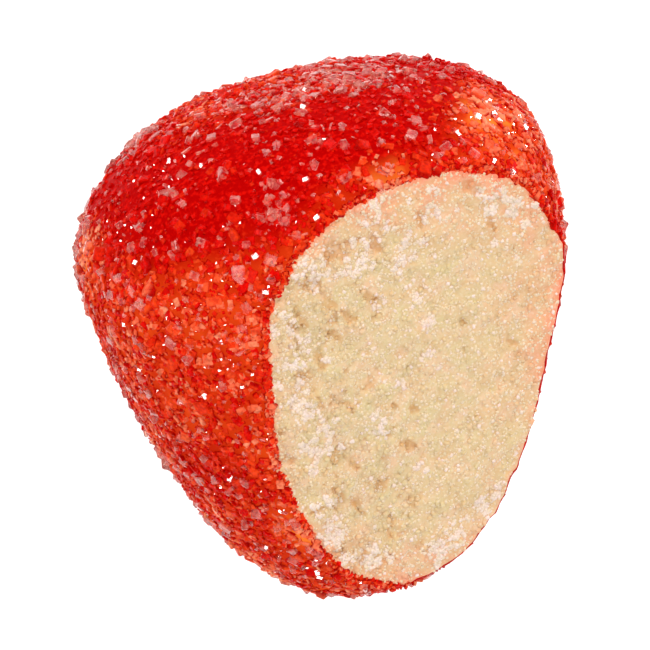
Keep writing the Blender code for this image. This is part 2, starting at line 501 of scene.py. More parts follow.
inside = PASTE_DEPTH + CRUST_OVERLAP
hollow = new_piece("hollow", skin_mesh("hollow", PASTE_CELLS))
along_normals(hollow.data, lip_height(mesh_points(hollow.data)) - inside, inside)
take_away(syrup_crust, hollow)
sunk_knife = knife("sunk_knife", RIM_SUNK)
take_away(syrup_crust, sunk_knife)
discard(hollow, sunk_knife)
syrup_crust.data.shade_smooth()
syrup_crust.data.set_sharp_from_angle(angle=SHARP_EDGE)
print("syrup crust:", triangle_count(syrup_crust), "triangles")

# %% [markdown]
# ## Where the colour and the sugar lie
#
# The syrup was brushed on by hand. Along the ridge it stayed wet and thick, so the red is deep there and
# few crystals hold. Down the flanks it is thin over the pale paste, which turns it orange, and the sugar
# lies dense. Painting this on an image would tie it to one view. Instead two numbers are worked out for any
# point of the surface, from a few places named in millimetres and some noise, and both the syrup's material
# and the scattered sugar read them.

# %% Named places on the skin
RIDGE = ((-14.0, 8.5), (-7.5, 8.5), (-1.0, 11.0), (6.0, 15.0))  # seen from above, mm
THIN_PLACES = (  # middle and reach, mm
    ((-12.5, 0.0, 14.0), 3.5),
    ((-14.6, 4.4, 18.5), 2.8),
    ((10.5, 12.0, 20.0), 4.5),
    ((14.0, 9.0, 16.0), 3.2),
    ((4.2, 9.8, 27.0), 1.8),
    ((-1.0, -12.5, 17.0), 2.8),
    ((-3.0, -15.0, 10.0), 3.0),
)
DEEP_PLACES = (((-6.2, -9.0, 18.0), 3.4), ((-6.0, -3.5, 22.0), 2.4), ((-12.0, -5.5, 14.0), 2.0))
FROSTED_PLACES = (
    ((2.0, 17.5, 18.0), 4.0),
    ((-2.0, 16.5, 20.0), 3.5),
    ((-5.0, 15.5, 19.0), 2.5),
    ((-2.6, 7.5, 28.0), 1.5),
    ((-15.5, 5.0, 14.0), 3.0),
    ((-12.5, 12.5, 13.0), 3.0),
    ((-13.5, -1.5, 9.0), 2.5),
    ((-10.8, -8.6, 10.5), 2.4),
    ((-7.4, -13.0, 9.5), 2.4),
    ((-3.6, -16.2, 8.5), 2.4),
)
PLACE_EDGE = (0.3, 1.4)  # where it starts to fade and where it ends, as shares of the reach


def near_places(points, places):
    """1 at the named places, each with its reach, all in millimetres, and 0 beyond them."""
    share = np.zeros(len(points))
    for place, reach in places:
        away = np.linalg.norm(points / MM - place, axis=1)
        share = np.maximum(share, 1 - soft_step(away, PLACE_EDGE[0] * reach, PLACE_EDGE[1] * reach))
    return share


print("named places:", len(THIN_PLACES), "thin,", len(DEEP_PLACES), "deep,", len(FROSTED_PLACES), "frosted")

# %% Wet ridge and thin flanks
WET_HALF_WIDTH = 3.6 * MM
DEEP_HALF_WIDTH = 5.6 * MM
RIDGE_EDGE = (0.45, 1.35)
RIDGE_RAG = ((2.0 * MM, 3.5 * MM, 3.1),)  # height, wavelength and shift
RIDGE_LOWEST = (6 * MM, 12 * MM)
PATCH_CLOUD = ((1.0, 6.0 * MM, 31.7),)  # strength, wavelength and shift
PATCH_EDGE = (0.30, 0.62)
PATCH_HIGHEST = (8 * MM, 15 * MM)
PATCH_WETNESS = 0.6
FLANK_THINNESS = 0.37
DEEP_PLACE_SHARE = 0.8
THIN_PLACE_SHARE = 0.95
THIN_CLOUD = ((0.8, 2.6 * MM, 12.9), (0.6, 1.1 * MM, 4.4))


def ridge_share(points, half_width):
    """1 on the brushed ridge, 0 beyond its half width, with a ragged edge."""
    ragged = distance_to_path(points, RIDGE) + waves(points, RIDGE_RAG)
    share = 1 - soft_step(ragged, RIDGE_EDGE[0] * half_width, RIDGE_EDGE[1] * half_width)
    return share * soft_step(points[:, 2], *RIDGE_LOWEST)


def wetness(points):
    """1 where the syrup stayed thick and wet, so that little sugar holds; also in patches near the floor."""
    patch = soft_step(waves(points, PATCH_CLOUD), *PATCH_EDGE)
    below = 1 - soft_step(points[:, 2], *PATCH_HIGHEST)
    return np.maximum(ridge_share(points, WET_HALF_WIDTH), PATCH_WETNESS * patch * below)


def thinness(points):
    """1 where the syrup is so thin that the paste turns it orange, 0 where it is deep red."""
    off_ridge = 1 - ridge_share(points, DEEP_HALF_WIDTH)
    flank = FLANK_THINNESS * off_ridge * (1 - DEEP_PLACE_SHARE * near_places(points, DEEP_PLACES))
    share = np.maximum(flank, THIN_PLACE_SHARE * near_places(points, THIN_PLACES))
    return np.clip(share * (1 + waves(points, THIN_CLOUD)), 0, 1)


crust_points = mesh_points(syrup_crust.data)
wet = wetness(crust_points)
write_values(syrup_crust.data, "wet", np.maximum(wet, rubbed_share(crust_points)))
write_values(syrup_crust.data, "thin", thinness(crust_points))
print("wet share of the crust:", round(float(wet.mean()), 2))

# %% [markdown]
# ## Materials
#
# Each one is named for the real stuff. Colours are sRGB, as a colour picker gives them, and one function
# turns them to the linear values that the shader wants. Coordinates are the object's own, so that the size
# of every pattern can be given as a real size. Most of the colours here are built in layers: a base, and
# over it hues that a noise or a number kept on the mesh brings in. One function paints such layers, and one
# makes a material by its recipe.


# %% Colours, nodes and layers
def linear(hex_colour):
    """The linear colour of an sRGB hex value."""
    shares = [int(hex_colour[i : i + 2], 16) / 255 for i in (1, 3, 5)]
    return [s / 12.92 if s <= 0.04045 else ((s + 0.055) / 1.055) ** 2.4 for s in shares] + [1.0]


def add_node(tree, kind, inputs=None, **settings):
    """Adds a node. An input that is another node's socket is linked, and any other value is set."""
    node = tree.nodes.new(kind)
    for name, value in settings.items():
        setattr(node, name, value)
    for name, value in (inputs or {}).items():
        if isinstance(value, bpy.types.NodeSocket):
            tree.links.new(value, node.inputs[name])
        else:
            node.inputs[name].default_value = value
    return node


def made_of(name, recipe):
    """A material by a recipe: a function that adds the pattern and gives the values of the shader."""
    material = bpy.data.materials.new(name)
    material.use_nodes = True
    tree = material.node_tree
    tree.nodes.clear()
    shader = add_node(tree, "ShaderNodeBsdfPrincipled", recipe(tree))
    add_node(tree, "ShaderNodeOutputMaterial", {"Surface": shader.outputs[0]})
    print("material:", name, "with", len(tree.nodes), "nodes")
    return material


def layered(tree, colour, layers):
    """Paints hues over a colour. Each layer has the number it reads, where it starts and ends, its most and
    its hue."""
    for share, low, high, most, hue in layers:
        amount = add_node(tree, "ShaderNodeMapRange", {0: share, 1: low, 2: high, 3: 0.0, 4: most}).outputs[0]
        colour = add_node(
            tree, "ShaderNodeMix", {0: amount, 6: colour, 7: linear(hue)}, data_type="RGBA"
        ).outputs[2]
    return colour


print("mid grey, linear:", round(linear("#808080")[0], 3))

# %% [markdown]
# ### Red sugar syrup
#
# Sugar boiled with water and a strong red dye, brushed on and left to dry. Where it is thick it swallows
# all but a deep red. Where it is thin, the pale paste shines through and turns it orange. A volume that
# absorbs light would do this by itself, but it renders slowly, and an exported model loses it. So the
# thinness kept on the mesh mixes the hue. On the flanks the red is also kept darker than the syrup alone
# would be: that is painted shade between the crystals, which throw no shadow of their own. Sugar that half
# dissolved in it leaves a grain of 0.3 mm. Sugar syrup has an IOR of about 1.49, but here the crystals make
# the highlights, and a shine on the skin below them would only wash the red out, so its specular level is
# turned almost off.

# %% Red syrup
SYRUP_GRAIN = 0.32 * MM
SYRUP_BUMP = 0.05 * MM


def red_syrup(tree):
    """Sugar syrup with red food dye, brushed on and dried: the paste turns it orange where it is thin."""
    place = add_node(tree, "ShaderNodeTexCoord").outputs["Object"]
    wet = add_node(tree, "ShaderNodeAttribute", attribute_name="wet").outputs["Fac"]
    thin = add_node(tree, "ShaderNodeAttribute", attribute_name="thin").outputs["Fac"]
    grain = add_node(
        tree, "ShaderNodeTexNoise", {"Vector": place, "Scale": 1 / SYRUP_GRAIN, "Detail": 2.0}
    ).outputs["Fac"]
    # partly painted shade: the flank's reds are darker than the syrup alone, for the shadows that the
    # crystals don't throw
    flank = (
        (thin, 0.0, 0.60, 1.0, "#DC4412"),
        (thin, 0.68, 1.0, 1.0, "#F47C2C"),
        (grain, 0.55, 0.72, 0.35, "#E8421A"),
    )
    speckled = layered(tree, linear("#B40300"), flank)
    deep = layered(tree, linear("#AE0101"), [(grain, 0.48, 0.66, 0.8, "#D80E06")])
    colour = add_node(tree, "ShaderNodeMix", {0: wet, 6: speckled, 7: deep}, data_type="RGBA").outputs[2]
    bump = add_node(tree, "ShaderNodeBump", {"Height": grain, "Distance": SYRUP_BUMP, "Strength": 0.6})
    return {
        "Base Color": colour,
        "Roughness": 0.30,
        "IOR": 1.49,
        "Specular IOR Level": 0.004,
        "Normal": bump.outputs[0],
    }


dress(syrup_crust, made_of("red sugar syrup", red_syrup))

# %% [markdown]
# ### Almond paste
#
# Marzipan is ground almonds and sugar: matt, buttery and a little translucent, so shadows in its pits stay
# soft. A scan would give its look, but only of one piece. Here two noises at the size of the smears that
# kneading leaves, 1.5 mm, tint it, and one at the size of ground almond, 0.2 mm, gives the grain and a
# faint bump. Four numbers on the mesh bring in what the knife did: crushed sugar, pits, tears, and the red
# dye that crept in from the crust. The tan in the tears and pits is painted shade, over the shade that
# their relief throws.

# %% Paste
ALMOND_MEAL = 0.20 * MM
MEAL_BUMP = 0.04 * MM
PASTE_MOTTLE = 1.5 * MM
LIGHT_GOES_IN = 0.4 * MM
ELSEWHERE = (0.1, 0.0, 0.0)  # metres; moved so far, the same noise gives another pattern


def ground_almonds(tree):
    """Marzipan: ground almonds and sugar, matt and slightly translucent, with pale grains and painted tan
    shade in its pits.
    """
    place = add_node(tree, "ShaderNodeTexCoord").outputs["Object"]
    frost, pit, tear, dye = [
        add_node(tree, "ShaderNodeAttribute", attribute_name=name).outputs["Fac"]
        for name in ("frost", "pit", "tear", "dye")
    ]
    broad = add_node(
        tree, "ShaderNodeTexNoise", {"Vector": place, "Scale": 1 / PASTE_MOTTLE, "Detail": 3.0}
    ).outputs["Fac"]
    moved = add_node(tree, "ShaderNodeVectorMath", {0: place, 1: ELSEWHERE}).outputs[0]
    rosy = add_node(
        tree, "ShaderNodeTexNoise", {"Vector": moved, "Scale": 1 / PASTE_MOTTLE, "Detail": 4.0}
    ).outputs["Fac"]
    grain = add_node(
        tree, "ShaderNodeTexNoise", {"Vector": place, "Scale": 1 / ALMOND_MEAL, "Detail": 2.0}
    ).outputs["Fac"]
    layers = (
        (broad, 0.50, 0.66, 0.50, "#E6BA8C"),
        (broad, 0.47, 0.34, 0.50, "#DFCB94"),
        (rosy, 0.50, 0.64, 0.42, "#F2C4A6"),
        # painted shade: the tears and pits are tinted a darker tan, as shade in these hollows
        (tear, 0.0, 1.0, 0.85, "#DCA870"),
        (pit, 0.0, 0.9, 0.55, "#DCA460"),
        (dye, 0.0, 1.0, 1.0, "#F88A66"),
        (frost, 0.0, 1.0, 0.35, "#F0D8C8"),
        (grain, 0.52, 0.68, 0.32, "#F2E2C4"),
        (grain, 0.48, 0.32, 0.30, "#DDB47C"),
    )
    colour = layered(tree, linear("#DCC293"), layers)
    bump = add_node(tree, "ShaderNodeBump", {"Height": grain, "Distance": MEAL_BUMP, "Strength": 0.5})
    return {
        "Base Color": colour,
        "Roughness": 0.55,
        "IOR": 1.45,
        "Subsurface Weight": 0.18,
        "Subsurface Radius": (1.0, 0.65, 0.35),
        "Subsurface Scale": LIGHT_GOES_IN,
        "Normal": bump.outputs[0],
    }


paste_material = made_of("almond paste", ground_almonds)
dress(almond_paste, paste_material)

# %% [markdown]
# ### Sugar crystals bedded in syrup
#
# Most crystals were wetted by the syrup and dried red. Sucrose in air has an IOR of 1.54 and glitters. In
# syrup almost no light bends, so a coated crystal shows colour rather than sparkle: what is left of the
# step is set here as an IOR of 1.11. It could be plain clear glass over the red skin, but thousands of
# those, one on another, turn grey. So each has some colour of its own, paler where the syrup is thin. On
# top of that, shade is painted: each crystal is lighter at its top and darker at its foot, because less
# light reaches down between the crystals, which throw no shadow here. The painted shade reads the height in
# the crystal from the mesh.


# %% Coated crystal
def coated_crystal(tree):
    """Sucrose under red syrup: more colour than glitter, and light as good as goes straight through."""
    thin = add_node(tree, "ShaderNodeAttribute", attribute_name="thin").outputs["Fac"]
    top = add_node(tree, "ShaderNodeAttribute", attribute_name="top").outputs["Fac"]
    paler = ((thin, 0.05, 0.45, 1.0, "#F8521E"), (thin, 0.45, 1.0, 1.0, "#FFA478"))
    colour = layered(tree, linear("#E40F06"), paler)
    # painted shade: each crystal darkens from its top to its foot, where less light would reach between the
    # crystals
    lit = add_node(tree, "ShaderNodeMapRange", {0: top, 1: 0.42, 2: 0.92}).outputs[0]
    colour = add_node(
        tree, "ShaderNodeMix", {0: lit, 6: linear("#B40602"), 7: colour}, data_type="RGBA"
    ).outputs[2]
    place = add_node(tree, "ShaderNodeTexCoord").outputs["Object"]
    cloud = add_node(
        tree, "ShaderNodeTexNoise", {"Vector": place, "Scale": 1 / SYRUP_GRAIN, "Detail": 1.0}
    ).outputs["Fac"]
    clear = add_node(tree, "ShaderNodeMapRange", {0: cloud, 1: 0.35, 2: 0.65, 3: 0.65, 4: 0.25}).outputs[0]
    return {"Base Color": colour, "Roughness": 0.12, "IOR": 1.11, "Transmission Weight": clear}


coated_material = made_of("syrup coated sugar crystal", coated_crystal)

# %% [markdown]
# ### Clear and crushed sugar
#
# A crystal that stayed dry is clear sucrose: IOR 1.54, smooth faces, and a faint milky cloud where water
# was caught in it. Its warm tint is a painted reflection: it stands for the red that it picks up from all
# round. Crushed sugar is the same stuff in splinters of 0.1 to 0.3 mm. Their many broken faces scatter
# light, so the heap looks white and hardly any grain looks like glass. Each grain has its own share of
# almond butter, which turns it cream.


# %% Clear crystal
def clear_crystal(tree):
    """A bare sucrose crystal, IOR 1.54: glassy, with a faint milky cloud inside."""
    place = add_node(tree, "ShaderNodeTexCoord").outputs["Object"]
    cloud = add_node(
        tree, "ShaderNodeTexNoise", {"Vector": place, "Scale": 1 / SYRUP_GRAIN, "Detail": 1.0}
    ).outputs["Fac"]
    # painted reflection: a warm tint for the red that the crystal picks up from the syrup all round
    colour = add_node(
        tree, "ShaderNodeMix", {0: cloud, 6: linear("#FFEADA"), 7: linear("#FFA888")}, data_type="RGBA"
    ).outputs[2]
    clear = add_node(tree, "ShaderNodeMapRange", {0: cloud, 1: 0.4, 2: 0.7, 3: 1.0, 4: 0.76}).outputs[0]
    return {"Base Color": colour, "Roughness": 0.03, "IOR": 1.54, "Transmission Weight": clear}


clear_material = made_of("clear sugar crystal", clear_crystal)


# %% Crushed sugar
def crushed_sugar(tree):
    """Sugar crushed by the blade: white from its many broken faces, and it lets some light through."""
    place = add_node(tree, "ShaderNodeTexCoord").outputs["Object"]
    cloud = add_node(tree, "ShaderNodeTexNoise", {"Vector": place, "Scale": 1 / PASTE_MOTTLE}).outputs["Fac"]
    white = add_node(
        tree, "ShaderNodeMix", {0: cloud, 6: linear("#FCEEE6"), 7: linear("#F6D6CA")}, data_type="RGBA"
    ).outputs[2]
    buttery = add_node(tree, "ShaderNodeAttribute", attribute_name="buttery").outputs["Fac"]
    colour = add_node(
        tree, "ShaderNodeMix", {0: buttery, 6: white, 7: linear("#EAD3AA")}, data_type="RGBA"
    ).outputs[2]
    clear = add_node(tree, "ShaderNodeMapRange", {0: buttery, 3: 0.10, 4: 0.0}).outputs[0]
    return {"Base Color": colour, "Roughness": 0.35, "IOR": 1.54, "Transmission Weight": clear}


crushed_material = made_of("crushed sugar", crushed_sugar)

# %% [markdown]
# ## What the knife left on the paste
#
# Crushed sugar lies on the cut in clumps, strung out along the way the blade went, and the dye has crept
# from the crust into the rim. A mask could be painted for both. Instead, the clumps are drawn by chance
# round a few trails, and the dye fades with the depth under the crust, so the numbers hold for grains that
# lie on the cut as well as for the paste.

# %% Clumps of crushed sugar
FROST_TRAILS = (  # corners, mm, number of clumps, and their spread, mm
    (((-1.6, 3.6), (-0.2, 3.9), (2.7, 3.5), (3.2, 5.6), (3.6, 8.0)), 46, 0.45),
    (((0.8, 4.5), (-0.6, 2.2), (-2.0, 0.3), (-1.3, -3.5), (-0.2, -6.5), (0.4, -9.0)), 60, 0.75),
    (((0.6, -11.5), (1.1, -14.0), (1.8, -15.2), (5.3, -15.4)), 34, 0.45),
    (((5.0, 4.1), (6.1, 6.3), (8.8, 8.6), (13.2, 8.9), (10.9, 5.3)), 34, 0.7),
    (((5.2, 1.3), (6.0, -8.4)), 14, 2.0),
    (((12.2, -10.9), (9.2, -14.2), (7.6, -15.6)), 26, 0.3),
)
CLUMP_REACH = (0.15 * MM, 0.45 * MM)
CLUMP_EDGE = (0.4, 1.5)
CLUMP_RAG = ((0.15 * MM, 0.4 * MM, 5.5),)  # height, wavelength and shift
CLUMP_GAPS = ((1.0, 0.5 * MM, 8.8),)
GAP_EDGE = (-0.25, 0.30)
TRAIL_SEED = 31


def trail_clumps():
    """The middles and reaches, in plan, of the clumps of crushed sugar that lie along the trails."""
    draw = np.random.default_rng(TRAIL_SEED)
    middles = []
    for path, count, spread in FROST_TRAILS:
        path = np.array(path)
        runs = np.linalg.norm(np.diff(path, axis=0), axis=1)
        ends = np.concatenate(([0], np.cumsum(runs)))
        along = draw.uniform(0, ends[-1], count)
        line = np.stack([np.interp(along, ends, path[:, axis]) for axis in (0, 1)], axis=1)
        middles.append((line + spread * draw.normal(size=(count, 2))) * MM)
    middles = np.concatenate(middles)
    return middles, draw.uniform(*CLUMP_REACH, len(middles))


clump_middles, clump_reaches = trail_clumps()
print("clumps of crushed sugar:", len(clump_middles))


def frost_share(points):
    """1 in the clumps of crushed sugar, 0 away from them, with ragged rims."""
    rag = waves(points, CLUMP_RAG)
    share = np.zeros(len(points))
    for middle, reach in zip(clump_middles, clump_reaches):
        away = np.hypot(*(points[:, :2] - middle).T) + rag
        share = np.maximum(share, 1 - soft_step(away, CLUMP_EDGE[0] * reach, CLUMP_EDGE[1] * reach))
    return share * soft_step(waves(points, CLUMP_GAPS), *GAP_EDGE)


# %% Dye in the rim of the paste
DYE_LINE = (0.25, 0.20 * MM)  # strength at the crust, and the depth in which it fades
DYE_REACH = 1.8 * MM
DYE_ALL_ROUND = 0.08
DYE_RIGHT = 0.42
DYE_RIGHT_ACROSS = (8 * MM, 13.5 * MM)
DYE_RIGHT_UP = (-9 * MM, 0)
DYE_UPPER = 0.58
DYE_UPPER_UP = (2 * MM, 8 * MM)
DYE_LOWER = 0.3
DYE_LOWER_UP = (-15.5 * MM, -12 * MM)
DYE_CLOUD = ((0.9, 1.4 * MM, 2.2),)  # strength, wavelength and shift


def dye_share(points):
    """1 where dye has crept from the crust into the paste's rim: a line, and a wide blush on the right."""
    x, y, _ = points.T
    depths = np.maximum(depth_in_paste(points), 0)
    right = soft_step(x, *DYE_RIGHT_ACROSS) * soft_step(y, *DYE_RIGHT_UP)
    upper = soft_step(y, *DYE_UPPER_UP)
    lower = 1 - soft_step(y, *DYE_LOWER_UP)
    cloud = 1 + waves(points, DYE_CLOUD)
    wide = DYE_ALL_ROUND + DYE_RIGHT * right + DYE_UPPER * upper * (1 - right) + DYE_LOWER * lower
    line = DYE_LINE[0] * np.exp(-depths / DYE_LINE[1])
    return np.clip((line + wide * np.exp(-depths / DYE_REACH)) * cloud, 0, 1)


PASTE_SHARES = {"frost": frost_share, "pit": pit_share, "tear": tear_share, "dye": dye_share}


def write_paste_values(piece):
    """Gives a piece of paste the four values that its material reads."""
    points = mesh_points(piece.data)
    for name, share in PASTE_SHARES.items():
        values = share(points)
        write_values(piece.data, name, values)
        print(piece.name, name, "on average:", round(float(values.mean()), 3))


write_paste_values(almond_paste)

# %% [markdown]
# ## Sugar crystals
#
# Sucrose grows as slanted boxes with bevelled edges. Instancing one crystal would be light, but an exported
# model loses instances, so each kind is one mesh: a template of 8 to 24 corners, stretched, sheared, tilted
# and half sunk for every crystal at once by array arithmetic. The kinds differ in size and finish: a few
# large ones that catch the eye, the granulated sugar itself, fine dust between it, clear ones that stayed
# dry, and thin splinters.

# %% Templates
BEVEL = 0.12
TOP_BEVEL = 0.14


def block_template(bevel, lowest=-1.0):
    """Corners and triangles of a unit block; its edges above a height are bevelled by a share of its side."""
    bm = bmesh.new()
    bmesh.ops.create_cube(bm, size=1.0)
    edges = [edge for edge in bm.edges if min(vert.co.z for vert in edge.verts) > lowest]
    if bevel:
        bmesh.ops.bevel(bm, geom=edges, offset=bevel, segments=1, affect="EDGES")
    bmesh.ops.triangulate(bm, faces=bm.faces)
    bm.verts.index_update()
    return template_arrays(bm)


def lump_template():
    """Corners and triangles of a unit lump with twenty sides."""
    bm = bmesh.new()
    bmesh.ops.create_icosphere(bm, subdivisions=1, radius=0.5)
    return template_arrays(bm)


def template_arrays(bm):
    """The corners and triangles of a form, as two arrays. A bevel leaves its triangles in another order on
    every run, so each is turned to start at its lowest corner, and all are sorted."""
    corners = np.array([vert.co for vert in bm.verts])
    sides = np.array([[vert.index for vert in face.verts] for face in bm.faces])
    bm.free()
    start = sides.argmin(axis=1)[:, None]
    sides = np.take_along_axis(sides, (start + np.arange(3)) % 3, axis=1)
    return corners, sides[np.lexsort(sides.T[::-1])]


bevelled_block = block_template(BEVEL)
topped_block = block_template(TOP_BEVEL, lowest=0.0)
plain_block = block_template(0)
lump = lump_template()
templates = {"bevelled": bevelled_block, "topped": topped_block, "plain": plain_block, "lump": lump}
for name, (_, sides) in templates.items():
    print(name, "template:", len(sides), "triangles")


# %% One mesh of many copies
def joined_mesh(name, corners, sides):
    """One mesh of many pieces: corners has a block of rows for each, and sides the triangles of one."""
    count, each, _ = corners.shape
    triangles = sides[None] + np.arange(count)[:, None, None] * each
    mesh = bpy.data.meshes.new(name)
    mesh.vertices.add(count * each)
    mesh.vertices.foreach_set("co", corners.ravel())
    mesh.loops.add(triangles.size)
    mesh.loops.foreach_set("vertex_index", triangles.ravel())
    mesh.polygons.add(triangles.size // 3)
    mesh.polygons.foreach_set("loop_start", np.arange(0, triangles.size, 3))
    mesh.update(calc_edges=True)
    mesh.shade_flat()
    return mesh


def unit(vectors):
    """Vectors at length 1."""
    return vectors / np.linalg.norm(vectors, axis=-1, keepdims=True)


def tilted_frames(draw, normals, tilt):
    """For each normal, three axes at right angles: the last near the normal, the others turned at random."""
    loose = draw.normal(size=normals.shape)
    up = normals + np.tan(draw.uniform(0, tilt, (len(normals), 1))) * unit(np.cross(normals, loose))
    up = unit(up)
    along = unit(np.cross(up, draw.normal(size=normals.shape)))
    return np.stack((along, np.cross(up, along), up), axis=1)


SHEAR = (0.35, 0.2)  # of the height, along the length and across it


def scattered(draw, places, normals, template, lengths, breadth, thickness, tilt, proud, jitter=0.0):
    """The corners of many copies of a template. Breadth and thickness are ranges of shares of the length,
    proud is how far the middle of a copy stands over the surface, as a share of its thickness, and jitter
    moves its corners."""
    count = len(places)
    sizes = lengths[:, None] * np.stack(
        (np.ones(count), draw.uniform(*breadth, count), draw.uniform(*thickness, count)), axis=1
    )
    shaped = template[0][None] * (1 + jitter * draw.normal(size=(count, len(template[0]), 1)))
    shaped = shaped * sizes[:, None, :]
    for axis, shear in enumerate(SHEAR):
        shaped[:, :, axis] += shaped[:, :, 2] * draw.uniform(-shear, shear, (count, 1))
    axes = tilted_frames(draw, normals, tilt)
    middles = places + axes[:, 2] * sizes[:, 2:] * draw.uniform(*proud, (count, 1))
    return np.einsum("nki,nij->nkj", shaped, axes) + middles[:, None, :]


# %% Where sugar sticks
CLEAR_OF_KNIFE = 0.1 * MM
WET_HOLDS_OFF = 0.78
WET_HOLDS_OFF_DUST = 0.30
CLEAR_SHARES = (0.45, 3.2)  # everywhere, and added at the frosted places


def skin_places(draw, count, density):
    """Random places on the crust's outer skin and the normals there; density gives a share for any points."""
    mesh = outer_skin
    corners = np.empty(len(mesh.loops), dtype=np.int32)
    mesh.loops.foreach_get("vertex_index", corners)
    corners = corners.reshape(-1, 4)
    areas = np.empty(len(mesh.polygons))
    mesh.polygons.foreach_get("area", areas)
    normals = np.empty(len(mesh.polygons) * 3)
    mesh.polygons.foreach_get("normal", normals)
    quads = mesh_points(mesh)[corners]
    weights = areas * density(quads.mean(axis=1))
    chosen = draw.choice(len(areas), count, p=weights / weights.sum())
    across, up = draw.random((2, count, 1))
    low = quads[chosen, 0] * (1 - across) + quads[chosen, 1] * across
    high = quads[chosen, 3] * (1 - across) + quads[chosen, 2] * across
    return low * (1 - up) + high * up, normals.reshape(-1, 3)[chosen]


def sticky_share(points, held_off):
    """Where sugar sticks: not over the slice or on the rubbed rim, and less by a share where syrup is wet."""
    kept = (height_over_slice(points) < CLEAR_OF_KNIFE) * (1 - rubbed_share(points))
    return (1 - held_off * wetness(points)) * kept


def sugar_density(points):
    """Crystals: more where the syrup is thin, because they sink into wet syrup."""
    return sticky_share(points, WET_HOLDS_OFF)


def dust_density(points):
    """Dust clings to the wet syrup too."""
    return sticky_share(points, WET_HOLDS_OFF_DUST)


def clear_density(points):
    """Bare crystals: some everywhere, and most of them at the frosted places."""
    return dust_density(points) * (CLEAR_SHARES[0] + CLEAR_SHARES[1] * near_places(points, FROSTED_PLACES))


print("quads of skin to scatter on:", len(outer_skin.polygons))

# %% Scatter the sugar
SUGAR_KINDS = (  # name, candidates, lengths in mm, template, breadth, thickness, tilt, proud
    ("large_crystals", 260, (0.75, 1.05), bevelled_block, (0.6, 0.95), (0.45, 0.8), 0.7, (-0.35, -0.05)),
    ("granulated_sugar", 3600, (0.44, 0.68), topped_block, (0.6, 0.95), (0.45, 0.8), 0.7, (-0.35, 0.0)),
    ("small_crystals", 9600, (0.27, 0.45), topped_block, (0.6, 0.95), (0.5, 0.9), 0.8, (-0.3, 0.15)),
    ("sugar_dust", 11000, (0.13, 0.26), plain_block, (0.6, 1.0), (0.5, 0.9), 1.0, (-0.2, 0.3)),
    ("clear_crystals", 1000, (0.42, 0.92), bevelled_block, (0.5, 0.95), (0.45, 0.8), 0.9, (-0.25, 0.1)),
    ("clear_grains", 1900, (0.16, 0.38), topped_block, (0.5, 1.0), (0.5, 0.9), 0.9, (-0.1, 0.3)),
    ("sugar_splinters", 300, (0.4, 0.8), plain_block, (0.16, 0.24), (0.14, 0.2), 0.5, (0.2, 0.6)),
    ("coarse_crystals", 240, (0.65, 0.95), bevelled_block, (0.6, 0.95), (0.55, 0.85), 1.0, (-0.35, 0.0)),
)
BARE_KINDS = ("clear_crystals", "clear_grains", "sugar_splinters", "coarse_crystals")
HIGHEST_OVER_KNIFE = 0.45 * MM
THIN_SCATTER = 0.30
DEEP_SCATTER = 0.3  # the share of it that is left where the syrup is deep
SCATTER_RISE = 2.5
# random change, corner by corner, of the height that the coated crystals' painted shade reads
TOP_SCATTER = 0.15

SUGAR_SEED = 100

sugar_pieces = []


def sugar_piece(name, corners, template, material):
    """A piece of many crystals. They let light through, so they throw no shadow."""
    piece = new_piece(name, joined_mesh(name, corners, template[1]))
    dress(piece, material)
    piece.visible_shadow = False
    sugar_pieces.append(piece)
    print(name, len(corners), "crystals,", triangle_count(piece), "triangles")
    return piece


def write_crystal_values(piece, template, shade, draw):
    """Gives each crystal its thinness of syrup, and its corners their height for the painted shade: 0 at the
    foot, 1 on top.
    """
    each = len(template[0])
    write_values(piece.data, "thin", np.repeat(np.clip(shade, 0, 1), each))
    top = np.tile(template[0][:, 2] + 0.5, len(shade)) + TOP_SCATTER * draw.normal(size=len(shade) * each)
    write_values(piece.data, "top", top)


for number, (name, count, lengths, template, *shape) in enumerate(SUGAR_KINDS):
    bare = name in BARE_KINDS
    draw = np.random.default_rng(SUGAR_SEED + number)
    density = clear_density if bare else dust_density if template is plain_block else sugar_density
    places, normals = skin_places(draw, count, density)
    corners = scattered(draw, places, normals, template, draw.uniform(*lengths, count) * MM, *shape)
    lowest = corners[:, :, 2].min(axis=1)
    highest = height_over_slice(corners.reshape(-1, 3)).reshape(count, -1).max(axis=1)
    kept = (lowest > 0) & (highest < HIGHEST_OVER_KNIFE)
    piece = sugar_piece(name, corners[kept], template, clear_material if bare else coated_material)
    shade = thinness(places[kept])
    rise = DEEP_SCATTER + (1 - DEEP_SCATTER) * np.minimum(SCATTER_RISE * shade, 1)
    shade += THIN_SCATTER * rise * draw.normal(size=len(shade))
    write_crystal_values(piece, template, shade, draw)

# %% [markdown]
# ## Crystals that mirror a lamp
#
# Now and then a face of a crystal lies just so that it mirrors a lamp to the eye, as a hard white square.
# With random tilts that hardly ever happens in so few crystals, and a glowing material would shine from
# every side. So some crystals are turned by the mirror's own law: their top looks halfway between the lamp
# and somebody who bends over the sweet. It is done only where the skin already looks about that way.

